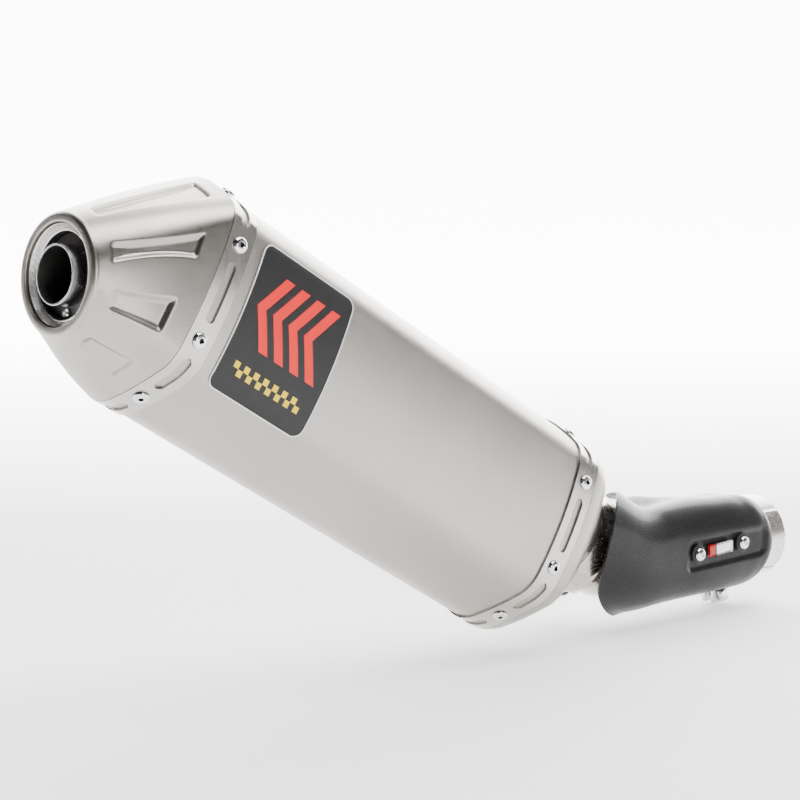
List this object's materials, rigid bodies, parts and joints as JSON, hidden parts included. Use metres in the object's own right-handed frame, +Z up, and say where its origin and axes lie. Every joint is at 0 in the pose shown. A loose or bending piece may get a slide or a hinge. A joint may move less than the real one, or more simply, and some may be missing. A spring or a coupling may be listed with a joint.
{
  "type": "motorcycle racing exhaust",
  "caption": "Angular riveted muffler with oblique outlet and removable noise insert, on a bent link pipe with spring slip joint, clamp and heat shield.",
  "frame": {"origin": "centre of the link pipe's inlet end, the socket that slips over the header", "axes": "+X out of the pipe's inlet end towards the engine, +Y towards the bike's left, +Z up; the muffler rises rearwards at 29.4 degrees"},
  "size_m": [0.6032, 0.1275, 0.3017],
  "materials": {
    "titanium_satin": "satin",
    "titanium_blasted": "satin",
    "titanium_polished": "polished",
    "stainless_steel": "satin",
    "bright_fastener": "polished",
    "carbon_weave": "gloss",
    "black_rubber": "matte",
    "graphite": "matte",
    "mineral_wool": "matte",
    "printed_label": "satin"
  },
  "bodies": {
    "link_pipe": {"link_pipe": "titanium_satin", "joint_gasket": "graphite", "clamp_band": "stainless_steel", "clamp_bolt": "bright_fastener", "clamp_nut": "bright_fastener", "heat_shield": "carbon_weave", "shield_boss_rear": "stainless_steel", "shield_boss_front": "stainless_steel", "shield_washer_rear": "black_rubber", "shield_washer_front": "black_rubber", "shield_bolt_rear": "bright_fastener", "shield_bolt_front": "bright_fastener", "shield_badge": "printed_label", "spring_hook_pipe_upper": "stainless_steel", "spring_hook_pipe_lower": "stainless_steel"},
    "muffler": {"outer_sleeve": "titanium_satin", "outlet_strap": "titanium_polished", "inlet_strap": "titanium_polished", "outlet_cap": "titanium_blasted", "inlet_cap": "titanium_blasted", "outlet_tube": "titanium_polished", "insert_lug": "stainless_steel", "rivet_outlet_right_upper": "bright_fastener", "rivet_outlet_right_lower": "bright_fastener", "rivet_outlet_left_upper": "bright_fastener", "rivet_outlet_left_lower": "bright_fastener", "rivet_outlet_top_right": "bright_fastener", "rivet_outlet_top_left": "bright_fastener", "rivet_outlet_bottom_right": "bright_fastener", "rivet_outlet_bottom_left": "bright_fastener", "rivet_inlet_right_upper": "bright_fastener", "rivet_inlet_right_lower": "bright_fastener", "rivet_inlet_left_upper": "bright_fastener", "rivet_inlet_left_lower": "bright_fastener", "rivet_inlet_top_right": "bright_fastener", "rivet_inlet_top_left": "bright_fastener", "rivet_inlet_bottom_right": "bright_fastener", "rivet_inlet_bottom_left": "bright_fastener", "outlet_bulkhead": "stainless_steel", "inlet_bulkhead": "stainless_steel", "core_tube": "stainless_steel", "packing": "mineral_wool", "inlet_cone": "stainless_steel", "inlet_neck": "titanium_polished", "joint_spring_upper": "bright_fastener", "joint_spring_lower": "bright_fastener", "spring_sleeve_upper": "black_rubber", "spring_sleeve_lower": "black_rubber", "spring_hook_muffler_upper": "stainless_steel", "spring_hook_muffler_lower": "stainless_steel", "sleeve_badge": "printed_label", "hanger_bracket": "titanium_satin", "hanger_grommet": "black_rubber", "hanger_bushing": "stainless_steel"},
    "insert": {"noise_insert": "stainless_steel", "insert_screw": "bright_fastener"}
  },
  "joints": [
    {"name": "muffler_swivel", "type": "hinge", "parent": "link_pipe", "child": "muffler", "pos_m": [-0.18064, 0, 0.01223], "axis": [0.8712, 0, -0.4909], "range_deg": [-8, 8], "deforming": ["joint_spring_upper", "joint_spring_lower", "spring_sleeve_upper", "spring_sleeve_lower"]},
    {"name": "insert_slide", "type": "slide", "parent": "muffler", "child": "insert", "axis": [-0.9938, 0, 0.1115], "range_m": [0, 0.07]}
  ]
}
